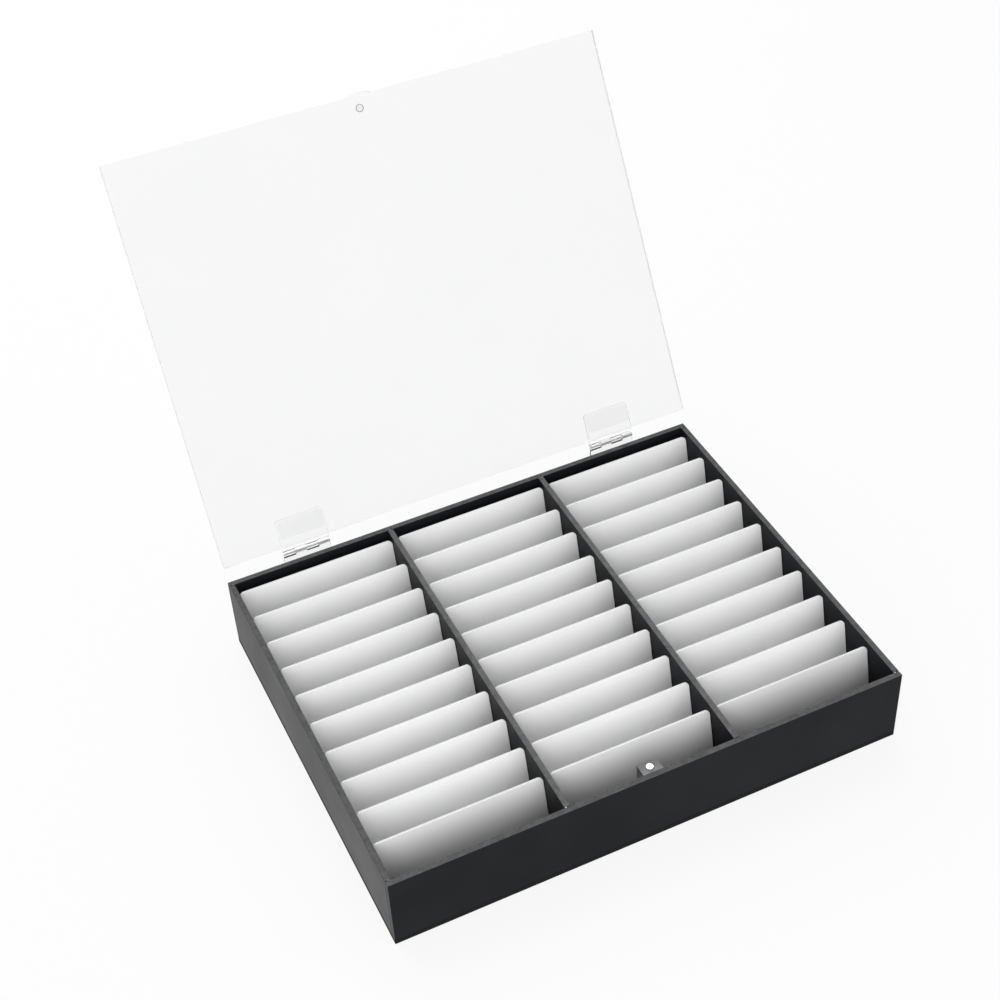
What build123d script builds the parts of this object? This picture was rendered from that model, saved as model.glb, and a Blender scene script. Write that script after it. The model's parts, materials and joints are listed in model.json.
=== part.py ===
from build123d import *
from math import asin, cos, degrees, radians, sin, tan
import os

# A flat black box of glued sheet holds three columns of slanted white cards under a clear hinged lid.
# Millimetres: X runs across, Y to the back and Z up, from the middle of the underside.
# The lid is modelled open, resting on the hinges' stop.

# Box
box_width = 270.0
box_depth = 214.0
box_height = 44.0
base_thickness = 3.0
wall_thickness = 3.0
divider_thickness = 3.0
floor_thickness = 3.0

# Cards, which lean back from upright by an angle in degrees and stand with a tongue in a slot of the floor
column_names = ("left", "middle", "right")
divider_names = ("left", "right")
card_pitch = 20.0
card_lean = 13.0
card_thickness = 1.2
card_corner_radius = 2.5
card_below_rim = 2.2
card_side_clearance = 0.2
card_seat_clearance = 0.1
tongue_inset = 9.0
tongue_corner_radius = 1.0
tongue_end_clearance = 0.3
tongue_side_clearance = 0.25
slot_clearance = 0.1

# Lid, with a shallow thumb tab on its front edge
lid_thickness = 3.0
lid_gap = 0.3
lid_rear_setback = 2.6
lid_open_angle = 120.0
tab_width = 15.5
tab_height = 1.5

# Closing magnets, one in the lid and one in a clear block inside the front wall
magnet_diameter = 4.0
magnet_clearance = 0.05
magnet_edge = 0.2
lid_magnet_share = 0.67
box_magnet_length = 3.0
block_width = 10.5
block_depth = 7.2
block_height = 10.0
block_edge = 0.4

# Hinges, each of two leaves whose knuckles interleave on a pin
hinge_inset = 45.0
hinge_width = 26.0
knuckle_count = 4
knuckle_gap = 0.3
barrel_diameter = 2.8
notch_clearance = 0.4
leaf_thickness = 1.2
leaf_reach = 18.4
leaf_corner_radius = 1.5
pin_diameter = 1.2
pin_clearance = 0.05
pin_edge = 0.15

os.makedirs("parts", exist_ok=True)

# Base plate, which the walls stand on
with BuildPart() as base_plate:
    with BuildSketch():
        Rectangle(box_width, box_depth)
    extrude(amount=base_thickness)
base_plate.part.label = "base_plate"
export_step(base_plate.part, "parts/base_plate.step")

# Front and back walls run the full width
wall_height = box_height - base_thickness
inside_width = box_width - 2 * wall_thickness
inside_depth = box_depth - 2 * wall_thickness
wall_base = Plane.XY.offset(base_thickness)
for name, side in (("front_wall", -1), ("back_wall", 1)):
    with BuildPart() as wall:
        with BuildSketch(wall_base):
            with Locations((0, side * (box_depth - wall_thickness) / 2)):
                Rectangle(box_width, wall_thickness)
        extrude(amount=wall_height)
    wall.part.label = name
    export_step(wall.part, f"parts/{name}.step")

# Side walls stand between the front and back walls
for name, side in (("left_wall", -1), ("right_wall", 1)):
    with BuildPart() as wall:
        with BuildSketch(wall_base):
            with Locations((side * (box_width - wall_thickness) / 2, 0)):
                Rectangle(wall_thickness, inside_depth)
        extrude(amount=wall_height)
    wall.part.label = name
    export_step(wall.part, f"parts/{name}.step")

# Dividers part the inside into equal columns
column_count = len(column_names)
column_width = (inside_width - (column_count - 1) * divider_thickness) / column_count
column_pitch = column_width + divider_thickness
column_places = [(number - (column_count - 1) / 2) * column_pitch for number in range(column_count)]
for number, name in enumerate(divider_names):
    with BuildPart() as divider:
        with BuildSketch(wall_base):
            with Locations(((column_places[number] + column_places[number + 1]) / 2, 0)):
                Rectangle(divider_thickness, inside_depth)
        extrude(amount=wall_height)
    divider.part.label = f"{name}_divider"
    export_step(divider.part, f"parts/{name}_divider.step")

# Rows of cards: each place is where a card's middle plane meets the base plate, from back to front
row_count = int(inside_depth // card_pitch)
row_places = [((row_count - 1) / 2 - row) * card_pitch for row in range(row_count)]
lean_sin = sin(radians(card_lean))
lean_cos = cos(radians(card_lean))
lean_tan = tan(radians(card_lean))

# Floors lie on the base plate between the dividers, and the width of a slot sets how far its card leans
card_width = column_width - 2 * card_side_clearance
tongue_width = card_width - 2 * tongue_inset
slot_length = tongue_width + 2 * tongue_side_clearance
slot_width = card_thickness / lean_cos + floor_thickness * lean_tan + 2 * slot_clearance
slot_shift = floor_thickness / 2 * lean_tan
for name, column_x in zip(column_names, column_places):
    with BuildPart() as floor:
        with BuildSketch(wall_base):
            with Locations((column_x, 0)):
                Rectangle(column_width, inside_depth)
            with Locations(*[(column_x, place + slot_shift) for place in row_places]):
                Rectangle(slot_length, slot_width, mode=Mode.SUBTRACT)
        extrude(amount=floor_thickness)
    floor.part.label = f"{name}_floor"
    export_step(floor.part, f"parts/{name}_floor.step")

# Each card rests its shoulders on the floor, with a tongue in its slot, all measured up the card's slope
edge_drop = card_thickness / 2 * lean_sin
card_top = (wall_height - card_below_rim - edge_drop) / lean_cos
card_shoulder = (floor_thickness + card_seat_clearance + edge_drop) / lean_cos
tongue_end = (tongue_end_clearance + edge_drop) / lean_cos
for name, column_x in zip(column_names, column_places):
    for row, place in enumerate(row_places, start=1):
        card_plane = Plane((column_x, place, base_thickness), x_dir=(1, 0, 0), z_dir=(0, -lean_cos, lean_sin))
        with BuildPart() as card:
            with BuildSketch(card_plane) as outline:
                with Locations((0, (card_top + card_shoulder) / 2)):
                    Rectangle(card_width, card_top - card_shoulder)
                fillet(outline.vertices().group_by(Axis.Y)[-1], card_corner_radius)
                with Locations((0, (card_shoulder + tongue_end) / 2)):
                    Rectangle(tongue_width, card_shoulder - tongue_end)
                fillet(outline.vertices().group_by(Axis.Y)[0], tongue_corner_radius)
            extrude(amount=card_thickness / 2, both=True)
        card.part.label = f"card_{name}_{row:02d}"
        export_step(card.part, f"parts/card_{name}_{row:02d}.step")

# The hinge axis runs behind the box, and the glued face of each leaf is level with its barrel
barrel_radius = barrel_diameter / 2
hinge_y = box_depth / 2 + barrel_radius
hinge_z = box_height + lid_gap + lid_thickness + barrel_radius

# On the lid's plane the hinge axis is the origin, and the closed lid would lie level towards the front
lid_plane = Plane((0, hinge_y, hinge_z), x_dir=(1, 0, 0), z_dir=(0, 0, 1)).rotated((-lid_open_angle, 0, 0))
lid_underside = lid_plane.offset(-barrel_radius - lid_thickness)
lid_rear = -barrel_radius - lid_rear_setback
lid_front = -barrel_radius - box_depth
magnet_y = -inside_depth / 2 + block_depth / 2
magnet_bore_radius = magnet_diameter / 2 + magnet_clearance
lid_magnet_place = (0, magnet_y - hinge_y)
lid_magnet_thickness = lid_thickness * lid_magnet_share

with BuildPart() as lid:
    with BuildSketch(lid_underside):
        with Locations((0, (lid_rear + lid_front) / 2)):
            Rectangle(box_width, lid_rear - lid_front)
        with BuildLine():
            ThreePointArc((-tab_width / 2, lid_front), (0, lid_front - tab_height), (tab_width / 2, lid_front))
            Line((tab_width / 2, lid_front), (-tab_width / 2, lid_front))
        make_face()
    extrude(amount=lid_thickness)
    with BuildSketch(lid_underside):
        with Locations(lid_magnet_place):
            Circle(magnet_bore_radius)
    extrude(amount=lid_magnet_thickness, mode=Mode.SUBTRACT)
lid.part.label = "lid"
export_step(lid.part, "parts/lid.step")

with BuildPart() as lid_magnet:
    with BuildSketch(lid_underside):
        with Locations(lid_magnet_place):
            Circle(magnet_diameter / 2)
    extrude(amount=lid_magnet_thickness)
    chamfer(lid_magnet.edges().filter_by(GeomType.CIRCLE), magnet_edge)
lid_magnet.part.label = "lid_magnet"
export_step(lid_magnet.part, "parts/lid_magnet.step")

# Clear block inside the front wall, level with the rim, with its magnet let into the top
rim_plane = Plane.XY.offset(box_height)
with BuildPart() as magnet_block:
    with BuildSketch(rim_plane):
        with Locations((0, magnet_y)):
            Rectangle(block_width, block_depth)
    extrude(amount=-block_height)
    chamfer(magnet_block.faces().sort_by(Axis.Y)[-1].edges(), block_edge)
    with BuildSketch(rim_plane):
        with Locations((0, magnet_y)):
            Circle(magnet_bore_radius)
    extrude(amount=-box_magnet_length, mode=Mode.SUBTRACT)
magnet_block.part.label = "magnet_block"
export_step(magnet_block.part, "parts/magnet_block.step")

with BuildPart() as box_magnet:
    with BuildSketch(rim_plane):
        with Locations((0, magnet_y)):
            Circle(magnet_diameter / 2)
    extrude(amount=-box_magnet_length)
    chamfer(box_magnet.edges().filter_by(GeomType.CIRCLE), magnet_edge)
box_magnet.part.label = "box_magnet"
export_step(box_magnet.part, "parts/box_magnet.step")

# Section planes of the leaves: their X runs from the hinge axis out along the leaf, their Y away from its glue
box_section = Plane((0, hinge_y, hinge_z), x_dir=(0, 0, -1), z_dir=(1, 0, 0))
lid_section = Plane((0, hinge_y, hinge_z), x_dir=-lid_plane.y_dir, z_dir=(-1, 0, 0))
knuckle_pitch = hinge_width / knuckle_count
knuckle_length = knuckle_pitch - knuckle_gap
notch_reach = barrel_radius + notch_clearance
leaf_top = leaf_thickness - barrel_radius
wrap_start = degrees(asin(leaf_top / barrel_radius))
wrap_end = 270.0


def hinge_leaf(section, hinge_x, first_knuckle):
    """Makes a leaf: a glued plate with every second knuckle, notched where the other leaf's knuckles turn."""
    across = section.z_dir.X
    with BuildPart() as leaf:
        with BuildSketch(section.offset(across * hinge_x)):
            with Locations(((notch_reach + leaf_reach) / 2, leaf_thickness / 2 - barrel_radius)):
                Rectangle(leaf_reach - notch_reach, leaf_thickness)
        extrude(amount=hinge_width / 2, both=True)
        far_end = leaf.faces().sort_by(Axis(section.origin, section.x_dir))[-1]
        fillet(far_end.edges().filter_by(Axis(section.origin, section.y_dir)), leaf_corner_radius)
        for knuckle in range(first_knuckle, knuckle_count, 2):
            knuckle_x = hinge_x + (knuckle - (knuckle_count - 1) / 2) * knuckle_pitch
            with BuildSketch(section.offset(across * knuckle_x)):
                with BuildLine():
                    wrap = CenterArc((0, 0), barrel_radius, wrap_start, wrap_end - wrap_start)
                    tail = notch_reach + leaf_thickness
                    Polyline(wrap @ 1, (tail, -barrel_radius), (tail, leaf_top), wrap @ 0)
                make_face()
                Circle(pin_diameter / 2 + pin_clearance, mode=Mode.SUBTRACT)
            extrude(amount=knuckle_length / 2, both=True)
    return leaf.part


for side_name, side in (("left", -1), ("right", 1)):
    hinge_x = side * (box_width / 2 - hinge_inset)

    lid_leaf = hinge_leaf(lid_section, hinge_x, 0)
    lid_leaf.label = f"{side_name}_hinge_lid_leaf"
    export_step(lid_leaf, f"parts/{side_name}_hinge_lid_leaf.step")

    box_leaf = hinge_leaf(box_section, hinge_x, 1)
    box_leaf.label = f"{side_name}_hinge_box_leaf"
    export_step(box_leaf, f"parts/{side_name}_hinge_box_leaf.step")

    with BuildPart() as pin:
        with BuildSketch(box_section.offset(hinge_x)):
            Circle(pin_diameter / 2)
        extrude(amount=hinge_width / 2, both=True)
        chamfer(pin.edges().filter_by(GeomType.CIRCLE), pin_edge)
    pin.part.label = f"{side_name}_hinge_pin"
    export_step(pin.part, f"parts/{side_name}_hinge_pin.step")
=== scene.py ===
import json
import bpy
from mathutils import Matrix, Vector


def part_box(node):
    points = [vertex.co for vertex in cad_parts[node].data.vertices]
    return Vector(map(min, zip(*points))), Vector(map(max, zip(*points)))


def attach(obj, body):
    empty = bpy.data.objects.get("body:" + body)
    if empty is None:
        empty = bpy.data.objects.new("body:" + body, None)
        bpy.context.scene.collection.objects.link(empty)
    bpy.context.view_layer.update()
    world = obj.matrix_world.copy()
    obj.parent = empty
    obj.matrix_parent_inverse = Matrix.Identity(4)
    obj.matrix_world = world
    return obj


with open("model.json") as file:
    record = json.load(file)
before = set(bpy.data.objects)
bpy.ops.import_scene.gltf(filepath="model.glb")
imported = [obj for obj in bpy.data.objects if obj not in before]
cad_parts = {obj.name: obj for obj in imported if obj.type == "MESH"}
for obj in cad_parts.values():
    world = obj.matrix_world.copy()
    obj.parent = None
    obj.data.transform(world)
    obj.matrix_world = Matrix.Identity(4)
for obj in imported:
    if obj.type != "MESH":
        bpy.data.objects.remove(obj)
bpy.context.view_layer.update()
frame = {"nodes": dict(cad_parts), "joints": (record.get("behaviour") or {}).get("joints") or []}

from fnmatch import fnmatch
from math import cos, pi, radians, sin

import bmesh
import bpy
from mathutils import Quaternion, Vector, noise

# Camera, in metres, degrees and millimetres of lens
camera_eye = (-0.27406, -0.58537, 0.72122)
camera_target = (0.01018, 0.08153, 0.06)
camera_roll = -3.409
camera_lens = 67.205
camera_sensor = 36.0

# Studio
floor_half_size = 6.0
floor_drop = 0.0002
floor_tone = 0.76
floor_white_share = 0.86
sky_white = (1, 1, 1, 1)
world_light = 0.78
seen_light = 1.0
lamp_distance = 1.6
lamp_size = 1.3
front_azimuth = 205.0
front_elevation = 25.0
front_power = 10.5
back_azimuth = 355.0
back_elevation = 50.0
back_power = 11.0

# Rounding of the pieces' edges
sheet_edge = 0.00028
card_edge = 0.00015
clear_edge = 0.00004
block_edge = 0.0002
hinge_edge = 0.00005
metal_edge = 0.00004
bevel_segments = 3
weld_distance = 0.000001
flat_angle = 0.5
sharp_angle = 35.0
glue_gap = 0.00004

# Sawn skin just inside the lid's edges
skin_depth = 0.00002
skin_thickness = 0.00002
skin_margin = 0.00005

# Glue films under the lid's hinge leaves, and the black bond between a box leaf and its wall
film_length = 0.0098
film_bottom = 0.2 * glue_gap
glue_top = 0.8 * glue_gap
bond_top = 1.5 * glue_gap
bond_below_rim = 0.0003
film_margin = 0.0006
film_corner = 0.0016
film_corner_steps = 6
film_edge_step = 0.0008
film_wander = 0.0005
film_wander_scale = 260.0

# Cement squeezed out of the rim's joints
bead_width = 0.0009
bead_height = 0.00006
bead_margin = 0.00025
bead_stations = 14
bead_sides = 10
bead_swell = 0.75
bead_swell_range = 0.5
bead_wander_scale = 900.0

# Colours of the materials, darker first
sheet_colours = ((0.0095, 0.0102, 0.0118, 1), (0.0145, 0.0155, 0.0175, 1))
sawn_colours = ((0.068, 0.069, 0.071, 1), (0.11, 0.111, 0.113, 1))
# The dividers' sawn edges are painted lighter than the walls': a painted highlight on the dividers' rims
divider_lit_sawn_colours = ((0.085, 0.086, 0.088, 1), (0.138, 0.139, 0.141, 1))
base_edge_colours = ((0.008, 0.0082, 0.0088, 1), (0.016, 0.0164, 0.017, 1))
card_colours = ((0.935, 0.937, 0.94, 1), (0.972, 0.973, 0.975, 1))
# The cards' edges are painted grey: painted shade that dims the light on their top edges
card_shaded_edge_colours = ((0.64, 0.642, 0.646, 1), (0.72, 0.721, 0.724, 1))
lid_colours = ((0.925, 0.928, 0.928, 1), (0.935, 0.938, 0.938, 1))
hinge_colours = ((0.98, 0.981, 0.981, 1), (0.99, 0.991, 0.991, 1))
block_colours = ((0.6, 0.615, 0.63, 1), (0.78, 0.79, 0.8, 1))
# The block's sides are tinted darker than its top as painted shade
block_shaded_side = (0.2, 0.21, 0.22, 1)
frost_colours = ((0.86, 0.861, 0.862, 1), (0.94, 0.941, 0.942, 1))
glue_colours = ((0.4, 0.4, 0.4, 1), (0.6, 0.6, 0.6, 1))
bond_colours = ((0.002, 0.0021, 0.0024, 1), (0.004, 0.0042, 0.0047, 1))
# The cement is dark, partly as painted shade of the joints' gaps, and its whitish specks are painted glints
cement_shade_and_glint_colours = ((0.004, 0.004, 0.0045, 1), (0.55, 0.55, 0.56, 1))
pin_colours = ((0.82, 0.82, 0.825, 1), (0.93, 0.93, 0.935, 1))
nickel_colours = ((0.74, 0.74, 0.745, 1), (0.9, 0.9, 0.905, 1))
# The magnets' rims are painted dark: painted shade for the gap round a magnet
nickel_shaded_rim = (0.2, 0.2, 0.205, 1)

# Lowest and highest roughness of the materials
sheet_roughness = (0.28, 0.35)
sawn_roughness = (0.5, 0.64)
card_roughness = (0.5, 0.62)
lid_roughness = (0, 0.03)
lid_edge_roughness = (0.3, 0.4)
leaf_roughness = (0, 0.08)
lid_leaf_edge_roughness = (0.7, 0.85)
box_leaf_edge_roughness = (0.02, 0.06)
block_roughness = (0.4, 0.55)
frost_roughness = (0.5, 0.7)
glue_roughness = (0.4, 0.6)
bond_roughness = (0.35, 0.5)
cement_roughness = (0.3, 0.5)
pin_roughness = (0.06, 0.12)
nickel_roughness = (0.14, 0.24)

# Shine and clearness of the materials
sheet_shine = 0.035
card_shine = 0.3
frost_shine = 0.3
cement_shine = 0.1
acrylic_ior = 1.49
card_ior = 1.46
block_clear = 0.88
glue_alpha = 0.06

# Scale and detail of the materials' noise
smudge_noise = (22, 3)
grain_noise = (1400, 4)
saw_noise = (420, 4)
fibre_noise = (900, 5)
card_cloud_noise = (30, 2)
clear_cloud_noise = (18, 3)
clear_saw_noise = (700, 3)
ripple_noise = (35, 1)
frost_noise = (500, 4)
glue_noise = (240, 3)
bond_noise = (160, 3)
glint_speck_noise = (1100, 2)
metal_noise = (1500, 3)

# Scale of the noise's axes, where a smaller number draws it out
even_axes = (1, 1, 1)
fibre_axes = (1, 1, 2.5)
glue_axes = (1, 1, 3)
drawn_axes = (0.1, 1, 1)

# The part of the noise that runs from the first colour to the second, and the card's share of cloud
noise_span = (0.3, 0.7)
glint_speck_span = (0.57, 0.64)
card_cloud_share = 0.5

# Distance and strength of the materials' bumps
sheet_bump = (0.00002, 0.4)
card_bump = (0.00003, 0.35)
clear_bump = (0.00002, 0.15)
frost_bump = (0.00002, 0.3)
film_bump = (0.00002, 0.2)
cement_bump = (0.00004, 0.4)
metal_bump = (0.00001, 0.3)

# A surface that faces a direction less than this is an edge, a sawn edge or a rim with painted shade
edge_facing = 0.1
sawn_facing = 0.75
shaded_rim_facing = 0.97

# A face that looks in a direction more than this is flat to it
flat_facing = 0.99

# Input places of a Mix node's share and its two values, and the output place of its result
mix_places = {"RGBA": (0, 6, 7, 2), "FLOAT": (0, 2, 3, 0)}

across = Vector((1, 0, 0))
along = Vector((0, 1, 0))
upward = Vector((0, 0, 1))
card_lean = radians(13.0)
card_outward = Vector((0, -cos(card_lean), sin(card_lean)))
rim_sheets = ("left_wall", "right_wall", "left_divider", "right_divider")

# The open lid's own directions, from its joint: from the hinge to its free edge, and out of its upper face
hinge = next(joint for joint in frame["joints"] if joint["name"] == "lid_hinge")
hinge_place = Vector(hinge["pos_m"])
lid_angle = radians(-min(hinge["range_deg"]))
lid_reach = Vector((0, -cos(lid_angle), sin(lid_angle)))
lid_outward = Vector((0, sin(lid_angle), cos(lid_angle)))


def node(tree, kind, **settings):
    """Adds a shader node and sets its properties."""
    made = tree.nodes.new(kind)
    for name, value in settings.items():
        setattr(made, name, value)
    return made


def sockets(made, **values):
    """Sets the defaults of a node's inputs, with underscores for the spaces in their names."""
    for name, value in values.items():
        made.inputs[name.replace("_", " ")].default_value = value
    return made


def new_material(name):
    material = bpy.data.materials.new(name)
    material.use_nodes = True
    tree = material.node_tree
    tree.nodes.clear()
    output = node(tree, "ShaderNodeOutputMaterial")
    return material, tree, output


def solid_material(name, **constants):
    """A material with one shader, whose constants are set on its own sockets."""
    material, tree, output = new_material(name)
    shader = sockets(node(tree, "ShaderNodeBsdfPrincipled"), **constants)
    tree.links.new(shader.outputs[0], output.inputs["Surface"])
    return material, tree, shader


def object_noise(tree, scale, detail, axes=even_axes):
    """Noise in the piece's own coordinates, so it moves with the piece."""
    place = node(tree, "ShaderNodeTexCoord")
    mapping = sockets(node(tree, "ShaderNodeMapping"), Scale=axes)
    texture = sockets(node(tree, "ShaderNodeTexNoise"), Scale=scale, Detail=detail)
    tree.links.new(place.outputs["Object"], mapping.inputs["Vector"])
    tree.links.new(mapping.outputs["Vector"], texture.inputs["Vector"])
    return texture.outputs["Fac"]


def spread(tree, value, low, high, span=noise_span):
    """Maps noise, which keeps near its middle, to the range from low to high."""
    start, end = span
    ramp = sockets(node(tree, "ShaderNodeMapRange"), From_Min=start, From_Max=end, To_Min=low, To_Max=high)
    tree.links.new(value, ramp.inputs["Value"])
    return ramp.outputs["Result"]


def blend(tree, kind, values):
    """Mixes two values by a share that comes first. Each is a constant or another node's output."""
    mix = node(tree, "ShaderNodeMix", data_type=kind)
    *places, result = mix_places[kind]
    for place, value in zip(places, values):
        if isinstance(value, bpy.types.NodeSocket):
            tree.links.new(value, mix.inputs[place])
        else:
            mix.inputs[place].default_value = value
    return mix.outputs[result]


def blend_colours(tree, share, first, second):
    return blend(tree, "RGBA", (share, first, second))


def blend_numbers(tree, share, first, second):
    return blend(tree, "FLOAT", (share, first, second))


def bump(tree, shader, height, distance, strength):
    made = sockets(node(tree, "ShaderNodeBump"), Distance=distance, Strength=strength)
    tree.links.new(height, made.inputs["Height"])
    tree.links.new(made.outputs["Normal"], shader.inputs["Normal"])


def turned_share(tree, face, limit):
    """One where a surface is turned away from the direction that the piece's faces look in, as edges are."""
    place = node(tree, "ShaderNodeTexCoord")
    turn = node(tree, "ShaderNodeVectorMath", operation="DOT_PRODUCT")
    turn.inputs[1].default_value = face
    size = node(tree, "ShaderNodeMath", operation="ABSOLUTE")
    under = node(tree, "ShaderNodeMath", operation="LESS_THAN")
    under.inputs[1].default_value = limit
    tree.links.new(place.outputs["Normal"], turn.inputs[0])
    tree.links.new(turn.outputs["Value"], size.inputs[0])
    tree.links.new(size.outputs[0], under.inputs[0])
    return under.outputs[0]


def black_sheet(name, face, edge_colours):
    """Satin black acrylic sheet, whose sawn edges are greyer and duller than its faces."""
    material, tree, shader = solid_material(name, Specular_IOR_Level=sheet_shine, IOR=acrylic_ior)
    smudge = object_noise(tree, *smudge_noise)
    saw = object_noise(tree, *saw_noise)
    edge = turned_share(tree, face, sawn_facing)
    face_colour = blend_colours(tree, spread(tree, smudge, 0, 1), *sheet_colours)
    edge_colour = blend_colours(tree, spread(tree, saw, 0, 1), *edge_colours)
    tree.links.new(blend_colours(tree, edge, face_colour, edge_colour), shader.inputs["Base Color"])
    face_rough = spread(tree, smudge, *sheet_roughness)
    edge_rough = spread(tree, saw, *sawn_roughness)
    tree.links.new(blend_numbers(tree, edge, face_rough, edge_rough), shader.inputs["Roughness"])
    bump(tree, shader, object_noise(tree, *grain_noise), *sheet_bump)
    return material


def white_card():
    """Matte white card with a fine fibre grain, and grey painted shade on its edges."""
    material, tree, shader = solid_material("card_white_matte", Specular_IOR_Level=card_shine, IOR=card_ior)
    fibre = object_noise(tree, *fibre_noise, fibre_axes)
    cloud = object_noise(tree, *card_cloud_noise)
    share = blend_numbers(tree, card_cloud_share, spread(tree, fibre, 0, 1), spread(tree, cloud, 0, 1))
    face_colour = blend_colours(tree, share, *card_colours)
    # Painted shade: the edges are grey
    edge_colour = blend_colours(tree, share, *card_shaded_edge_colours)
    edge = turned_share(tree, card_outward, edge_facing)
    tree.links.new(blend_colours(tree, edge, face_colour, edge_colour), shader.inputs["Base Color"])
    tree.links.new(spread(tree, fibre, *card_roughness), shader.inputs["Roughness"])
    bump(tree, shader, fibre, *card_bump)
    return material


def pass_shadows(tree, shader, tint):
    """The shader's light, but tinted and clear to the rays that look for lamps."""
    through = sockets(node(tree, "ShaderNodeBsdfTransparent"), Color=tint)
    path = node(tree, "ShaderNodeLightPath")
    mix = node(tree, "ShaderNodeMixShader")
    tree.links.new(path.outputs["Is Shadow Ray"], mix.inputs[0])
    tree.links.new(shader.outputs[0], mix.inputs[1])
    tree.links.new(through.outputs[0], mix.inputs[2])
    return mix.outputs[0]


def clear_plastic(name, colours, face, face_roughness, edge_roughness, clear=1.0, side_shade_tint=None):
    """Clear acrylic that lets light through, with one roughness for its faces and one for its edges, and a
    darker tint of painted shade on its edges if given.
    """
    material, tree, output = new_material(name)
    shader = sockets(node(tree, "ShaderNodeBsdfPrincipled"), IOR=acrylic_ior, Transmission_Weight=clear)
    cloud = object_noise(tree, *clear_cloud_noise)
    edge = turned_share(tree, face, edge_facing)
    colour = blend_colours(tree, spread(tree, cloud, 0, 1), *colours)
    # Painted shade: the edges get a darker tint
    if side_shade_tint:
        colour = blend_colours(tree, edge, colour, side_shade_tint)
    tree.links.new(colour, shader.inputs["Base Color"])
    haze = spread(tree, cloud, *face_roughness)
    saw = spread(tree, object_noise(tree, *clear_saw_noise), *edge_roughness)
    tree.links.new(blend_numbers(tree, edge, haze, saw), shader.inputs["Roughness"])
    bump(tree, shader, object_noise(tree, *ripple_noise), *clear_bump)
    tree.links.new(pass_shadows(tree, shader, colours[1]), output.inputs["Surface"])
    return material


def marked(name, colours, marks, roughness, relief, axes=even_axes, span=noise_span, shaded_rim_of=None,
           **constants):
    """A material whose colour, roughness and bump follow one noise, with a dark rim of painted shade round a
    face if given.
    """
    material, tree, shader = solid_material(name, **constants)
    height = object_noise(tree, *marks, axes)
    colour = blend_colours(tree, spread(tree, height, 0, 1, span), *colours)
    if shaded_rim_of is not None:
        colour = blend_colours(tree, turned_share(tree, shaded_rim_of, shaded_rim_facing), colour, nickel_shaded_rim)
    tree.links.new(colour, shader.inputs["Base Color"])
    tree.links.new(spread(tree, height, *roughness), shader.inputs["Roughness"])
    bump(tree, shader, height, *relief)
    return material


def dried_glue():
    """Dried clear glue, a little grey and streaky."""
    return marked("dried_glue", glue_colours, glue_noise, glue_roughness, film_bump, glue_axes,
                  Alpha=glue_alpha, IOR=acrylic_ior)


def black_bond():
    """Clear cement that shows the black wall behind it."""
    return marked("bonded_black", bond_colours, bond_noise, bond_roughness, film_bump,
                  Specular_IOR_Level=sheet_shine, IOR=acrylic_ior)


def sawn_frost():
    """The whitish skin that a saw leaves on the edges of clear sheet."""
    return marked("sawn_frost", frost_colours, frost_noise, frost_roughness, frost_bump,
                  Specular_IOR_Level=frost_shine, IOR=acrylic_ior)


def joint_cement():
    """Black cement squeezed out of a joint, which stands partly for the shade in the joint's gap, with
    whitish specks that are painted glints.
    """
    return marked("joint_cement", cement_shade_and_glint_colours, glint_speck_noise, cement_roughness, cement_bump, span=glint_speck_span,
                  Specular_IOR_Level=cement_shine, IOR=acrylic_ior)


def pin_steel():
    """Bright steel wire with fine marks drawn out along it."""
    return marked("pin_steel", pin_colours, metal_noise, pin_roughness, metal_bump, drawn_axes, Metallic=1.0)


def nickel(name, face):
    """Tumbled nickel plate with a dark rim of painted shade."""
    return marked(name, nickel_colours, metal_noise, nickel_roughness, metal_bump, shaded_rim_of=face, Metallic=1.0)


def seen_share(tree):
    """One for rays from the camera, from mirrors and through glass, zero for rays that light the object."""
    path = node(tree, "ShaderNodeLightPath")
    share = path.outputs["Is Camera Ray"]
    for other in ("Is Glossy Ray", "Is Transmission Ray"):
        either = node(tree, "ShaderNodeMath", operation="MAXIMUM")
        tree.links.new(share, either.inputs[0])
        tree.links.new(path.outputs[other], either.inputs[1])
        share = either.outputs[0]
    return share


def floor_material():
    """Matte white that is mostly plain white where it is seen, so that only a faint shadow shows."""
    material, tree, output = new_material("floor_white")
    matte = sockets(node(tree, "ShaderNodeBsdfDiffuse"), Color=(floor_tone, floor_tone, floor_tone, 1))
    glow = node(tree, "ShaderNodeEmission")
    share = node(tree, "ShaderNodeMath", operation="MULTIPLY")
    share.inputs[1].default_value = floor_white_share
    mix = node(tree, "ShaderNodeMixShader")
    tree.links.new(seen_share(tree), share.inputs[0])
    tree.links.new(share.outputs[0], mix.inputs[0])
    tree.links.new(matte.outputs[0], mix.inputs[1])
    tree.links.new(glow.outputs[0], mix.inputs[2])
    tree.links.new(mix.outputs[0], output.inputs["Surface"])
    return material


def make_floor():
    corners = [(x * floor_half_size, y * floor_half_size, -floor_drop)
               for x, y in ((-1, -1), (1, -1), (1, 1), (-1, 1))]
    mesh = bpy.data.meshes.new("studio_floor")
    mesh.from_pydata(corners, [], [(0, 1, 2, 3)])
    mesh.materials.append(floor_material())
    floor = bpy.data.objects.new("studio_floor", mesh)
    bpy.context.scene.collection.objects.link(floor)


def make_world():
    """An even sky that is plain white where it is seen."""
    world = bpy.data.worlds.new("studio")
    world.use_nodes = True
    tree = world.node_tree
    tree.nodes.clear()
    output = node(tree, "ShaderNodeOutputWorld")
    sky = sockets(node(tree, "ShaderNodeBackground"), Color=sky_white)
    tree.links.new(blend_numbers(tree, seen_share(tree), world_light, seen_light), sky.inputs["Strength"])
    tree.links.new(sky.outputs[0], output.inputs["Surface"])
    bpy.context.scene.world = world


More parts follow.
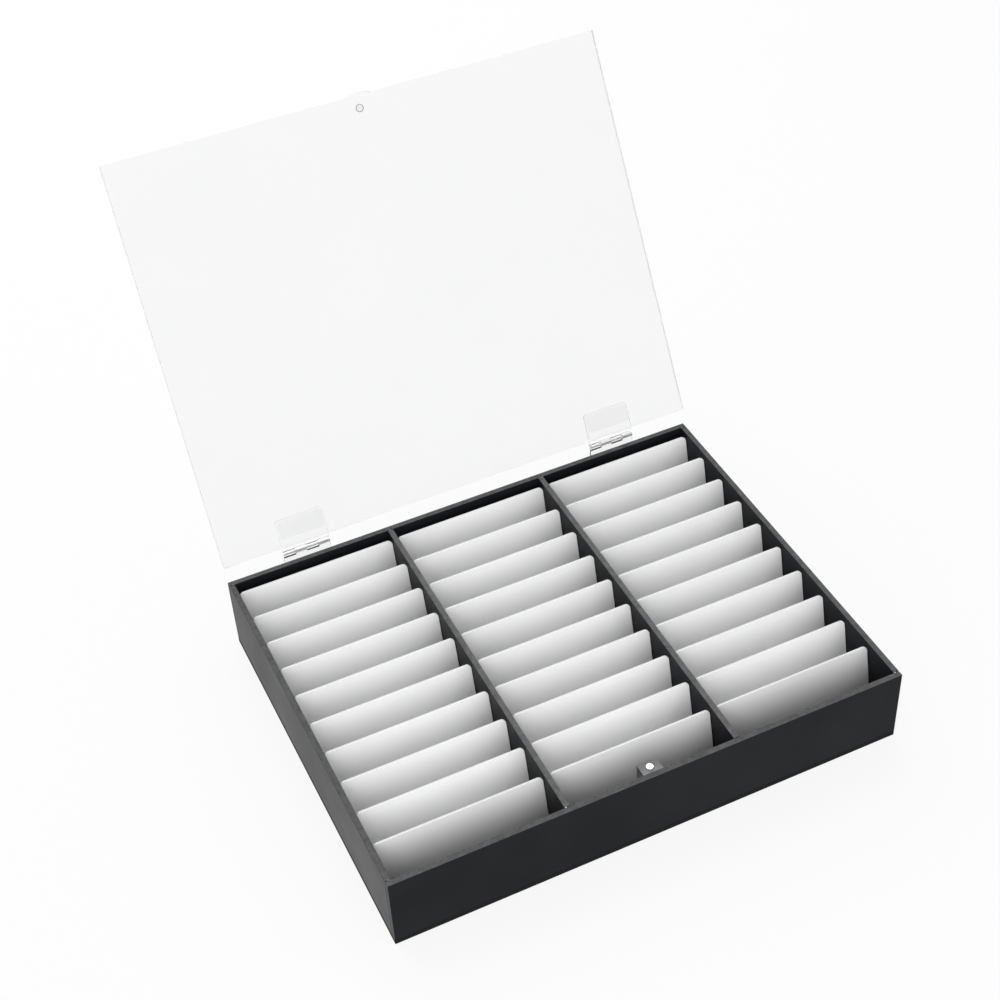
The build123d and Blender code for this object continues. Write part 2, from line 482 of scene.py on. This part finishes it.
def make_lamp(name, azimuth, elevation, power):
    """A large soft lamp that faces the object. The azimuth runs from the back towards the right."""
    data = bpy.data.lights.new(name, "AREA")
    data.shape = "SQUARE"
    data.size = lamp_size
    data.energy = power
    lamp = bpy.data.objects.new(name, data)
    level = cos(radians(elevation))
    side = Vector((sin(radians(azimuth)) * level, cos(radians(azimuth)) * level, sin(radians(elevation))))
    lamp.location = side * lamp_distance
    lamp.rotation_euler = side.to_track_quat("Z", "Y").to_euler()
    bpy.context.scene.collection.objects.link(lamp)


def make_camera():
    data = bpy.data.cameras.new("camera")
    data.sensor_fit = "HORIZONTAL"
    data.sensor_width = camera_sensor
    data.lens = camera_lens
    camera = bpy.data.objects.new("camera", data)
    ahead = Vector(camera_target) - Vector(camera_eye)
    turn = ahead.to_track_quat("-Z", "Y") @ Quaternion((0, 0, 1), radians(camera_roll))
    camera.location = camera_eye
    camera.rotation_euler = turn.to_euler()
    bpy.context.scene.collection.objects.link(camera)
    bpy.context.scene.camera = camera


def soften(piece, width, shrink):
    """Joins flat faces, draws the surface in if asked, rounds sharp edges and smooths the shading."""
    weld = piece.modifiers.new("weld", "WELD")
    weld.merge_threshold = weld_distance
    flat = piece.modifiers.new("flat_faces", "DECIMATE")
    flat.decimate_type = "DISSOLVE"
    flat.angle_limit = radians(flat_angle)
    if shrink:
        gap = piece.modifiers.new("glue_gap", "DISPLACE")
        gap.strength = -shrink
        gap.mid_level = 0
    bevel = piece.modifiers.new("edges", "BEVEL")
    bevel.width = width
    bevel.segments = bevel_segments
    bevel.limit_method = "ANGLE"
    bevel.angle_limit = radians(sharp_angle)
    bevel.use_clamp_overlap = False
    shade = piece.modifiers.new("shading", "WEIGHTED_NORMAL")
    shade.keep_sharp = False


def finish_nodes(patterns, material, edge, shrink=0.0):
    """Gives the CAD nodes whose names fit one of the patterns their material and their rounded edges."""
    for name, piece in frame["nodes"].items():
        if any(fnmatch(name, pattern) for pattern in patterns):
            piece.data.materials.clear()
            piece.data.materials.append(material)
            soften(piece, edge, shrink)


def add_piece(name, made, material, body):
    """Makes a new piece of the object from a bmesh."""
    bmesh.ops.recalc_face_normals(made, faces=made.faces)
    mesh = bpy.data.meshes.new(name)
    made.to_mesh(mesh)
    made.free()
    mesh.materials.append(material)
    piece = bpy.data.objects.new(name, mesh)
    bpy.context.scene.collection.objects.link(piece)
    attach(piece, body)


def bridge(made, first, second):
    """Joins two closed rings of as many points by a band of faces."""
    count = len(first)
    for spot in range(count):
        after = (spot + 1) % count
        made.faces.new((first[spot], first[after], second[after], second[spot]))


def rounded_rectangle(low_x, high_x, low, high):
    """The points of a rectangle's rounded corners, in order round it."""
    points = []
    corners = ((high_x, high), (low_x, high), (low_x, low), (high_x, low))
    for quarter, (x, reach) in enumerate(corners):
        centre_x = x - film_corner if x == high_x else x + film_corner
        centre_reach = reach - film_corner if reach == high else reach + film_corner
        for step in range(film_corner_steps + 1):
            angle = (quarter + step / film_corner_steps) * pi / 2
            arm = Vector((cos(angle), sin(angle))) * film_corner
            points.append(Vector((centre_x, centre_reach)) + arm)
    return points


def film_outline(low_x, high_x, low, high):
    """Points round a rounded rectangle whose edge wanders inward as squeezed glue does."""
    centre = Vector(((low_x + high_x) / 2, (low + high) / 2))
    points = rounded_rectangle(low_x, high_x, low, high)
    outline = []
    for start, end in zip(points, points[1:] + points[:1]):
        pieces = max(1, round((end - start).length / film_edge_step))
        for step in range(pieces):
            point = start.lerp(end, step / pieces)
            wander = noise.noise(point.to_3d() * film_wander_scale) * film_wander
            outline.append(point + (centre - point).normalized() * abs(wander))
    return outline


def hinge_film(leaf_name, body, reach, outward, material, near, top):
    """A film under a hinge leaf, from near to its far end, or as long as the glue is if near is None."""
    spots = [vertex.co - hinge_place for vertex in frame["nodes"][leaf_name].data.vertices]
    far = max(spot.dot(reach) for spot in spots) - film_margin
    low_x = min(spot.x for spot in spots) + film_margin
    high_x = max(spot.x for spot in spots) - film_margin
    level = min(spot.dot(outward) for spot in spots)
    start = far - film_length if near is None else near
    outline = film_outline(low_x, high_x, start, far)
    made = bmesh.new()
    rings = []
    for height in (level + film_bottom, level + top):
        base = hinge_place + outward * height
        rings.append([made.verts.new(base + across * x + reach * away) for x, away in outline])
    for ring in rings:
        made.faces.new(ring)
    bridge(made, *rings)
    add_piece(leaf_name + "_glue", made, material, body)


def closed_length(points):
    """The length of a closed run of points."""
    return sum((end - start).length for start, end in zip(points, points[1:] + points[:1]))


def face_outline(name, outward):
    """The points in order round the face of a sheet that looks outward."""
    sheet = bmesh.new()
    sheet.from_mesh(frame["nodes"][name].data)
    bmesh.ops.remove_doubles(sheet, verts=sheet.verts, dist=weld_distance)
    flat = {face for face in sheet.faces if face.normal.dot(outward) > flat_facing}
    rim = [edge for edge in sheet.edges if len(flat.intersection(edge.link_faces)) == 1]
    loops = []
    while rim:
        loop = list(rim.pop().verts)
        following = rim
        while following:
            following = [edge for edge in rim if loop[-1] in edge.verts]
            if following:
                rim.remove(following[0])
                loop.append(following[0].other_vert(loop[-1]))
        loops.append([vert.co.copy() for vert in loop[:-1]])
    sheet.free()
    return max(loops, key=closed_length)


def inset(points, outward, distance):
    """A closed flat outline moved inward by a distance."""
    count = len(points)
    turn = sum((points[spot].cross(points[(spot + 1) % count]) for spot in range(count)), Vector())
    inward = distance if turn.dot(outward) > 0 else -distance
    moved = []
    for spot, point in enumerate(points):
        before = (point - points[spot - 1]).normalized()
        after = (points[(spot + 1) % count] - point).normalized()
        first = outward.cross(before)
        second = outward.cross(after)
        moved.append(point + (first + second) / (1 + first.dot(second)) * inward)
    return moved


def sawn_skin(name, body, outward, material):
    """A thin whitish skin just inside the edges of a clear sheet."""
    outline = face_outline(name, outward)
    heights = [vertex.co.dot(outward) for vertex in frame["nodes"][name].data.vertices]
    bottom = max(heights) - min(heights) - skin_margin
    inner = skin_depth + skin_thickness
    made = bmesh.new()
    rings = []
    corners = ((skin_depth, skin_margin), (skin_depth, bottom), (inner, bottom), (inner, skin_margin))
    for depth, drop in corners:
        points = inset(outline, outward, depth)
        rings.append([made.verts.new(point - outward * drop) for point in points])
    for first, second in zip(rings, rings[1:] + rings[:1]):
        bridge(made, first, second)
    add_piece(name + "_sawn_edge", made, material, body)


def cement_bead(sheet, end, material):
    """A bead of cement across the rim, where the front or back end of a sheet meets a wall."""
    low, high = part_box(sheet)
    place = high[1] if end == "back" else low[1]
    length = high[0] - low[0] - 2 * bead_margin
    made = bmesh.new()
    rings = []
    for station in range(bead_stations + 1):
        middle = Vector((low[0] + bead_margin + length * station / bead_stations, place, high[2]))
        swell = bead_swell + bead_swell_range * noise.noise(middle * bead_wander_scale)
        ring = []
        for spot in range(bead_sides):
            angle = 2 * pi * spot / bead_sides
            side = Vector((0, cos(angle) * bead_width / 2, sin(angle) * bead_height))
            ring.append(made.verts.new(middle + side * swell))
        rings.append(ring)
    made.faces.new(rings[0])
    made.faces.new(rings[-1])
    for first, second in zip(rings, rings[1:]):
        bridge(made, first, second)
    add_piece(f"{sheet}_{end}_cement", made, material, "box")


def dress_box():
    """The black sheets and the white cards."""
    across_sheet = black_sheet("black_sheet_across", along, sawn_colours)
    along_sheet = black_sheet("black_sheet_along", across, sawn_colours)
    # The dividers' rims get a painted highlight, a lighter sawn colour than the walls'
    lit_divider_sheet = black_sheet("black_sheet_divider_lit_rims", across, divider_lit_sawn_colours)
    lying_sheet = black_sheet("black_sheet_lying", upward, base_edge_colours)
    finish_nodes(("front_wall", "back_wall"), across_sheet, sheet_edge)
    finish_nodes(("left_wall", "right_wall"), along_sheet, sheet_edge)
    finish_nodes(("*_divider",), lit_divider_sheet, sheet_edge)
    finish_nodes(("base_plate", "*_floor"), lying_sheet, sheet_edge)
    finish_nodes(("card_*",), white_card(), card_edge)


def dress_clear_pieces():
    """The lid, the block and the hinges' leaves. A leaf is drawn in by the gap that its glue fills."""
    lid = clear_plastic("clear_lid", lid_colours, lid_outward, lid_roughness, lid_edge_roughness)
    # The block's sides get painted shade, a darker tint than its top
    block = clear_plastic("clear_block", block_colours, upward, block_roughness, block_roughness,
                          block_clear, block_shaded_side)
    lid_leaf = clear_plastic("clear_lid_leaf", hinge_colours, lid_outward, leaf_roughness,
                             lid_leaf_edge_roughness)
    box_leaf = clear_plastic("clear_box_leaf", hinge_colours, along, leaf_roughness, box_leaf_edge_roughness)
    finish_nodes(("lid",), lid, clear_edge)
    finish_nodes(("magnet_block",), block, block_edge)
    finish_nodes(("*_lid_leaf",), lid_leaf, hinge_edge, glue_gap)
    finish_nodes(("*_box_leaf",), box_leaf, hinge_edge, glue_gap)


def dress_metal():
    """The hinges' pins and the magnets, which are drawn in by a gap for their glue."""
    finish_nodes(("*_pin",), pin_steel(), metal_edge)
    finish_nodes(("box_magnet",), nickel("nickel_box_magnet", upward), metal_edge, glue_gap)
    finish_nodes(("lid_magnet",), nickel("nickel_lid_magnet", lid_outward), metal_edge, glue_gap)


def add_glue():
    """The films under the hinges' leaves. A box leaf's bond ends just below the rim."""
    glue = dried_glue()
    bond = black_bond()
    rim_drop = hinge_place.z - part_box("back_wall")[1][2] + bond_below_rim
    for side in ("left", "right"):
        hinge_film(f"{side}_hinge_lid_leaf", "lid", lid_reach, lid_outward, glue, None, glue_top)
        hinge_film(f"{side}_hinge_box_leaf", "box", -upward, along, bond, rim_drop, bond_top)


def add_cement():
    cement = joint_cement()
    for name in rim_sheets:
        cement_bead(name, "front", cement)
        cement_bead(name, "back", cement)


dress_box()
dress_clear_pieces()
dress_metal()
add_glue()
sawn_skin("lid", "lid", lid_outward, sawn_frost())
add_cement()
make_floor()
make_world()
make_lamp("front_lamp", front_azimuth, front_elevation, front_power)
make_lamp("back_lamp", back_azimuth, back_elevation, back_power)
make_camera()
bpy.context.scene.view_settings.view_transform = "Standard"
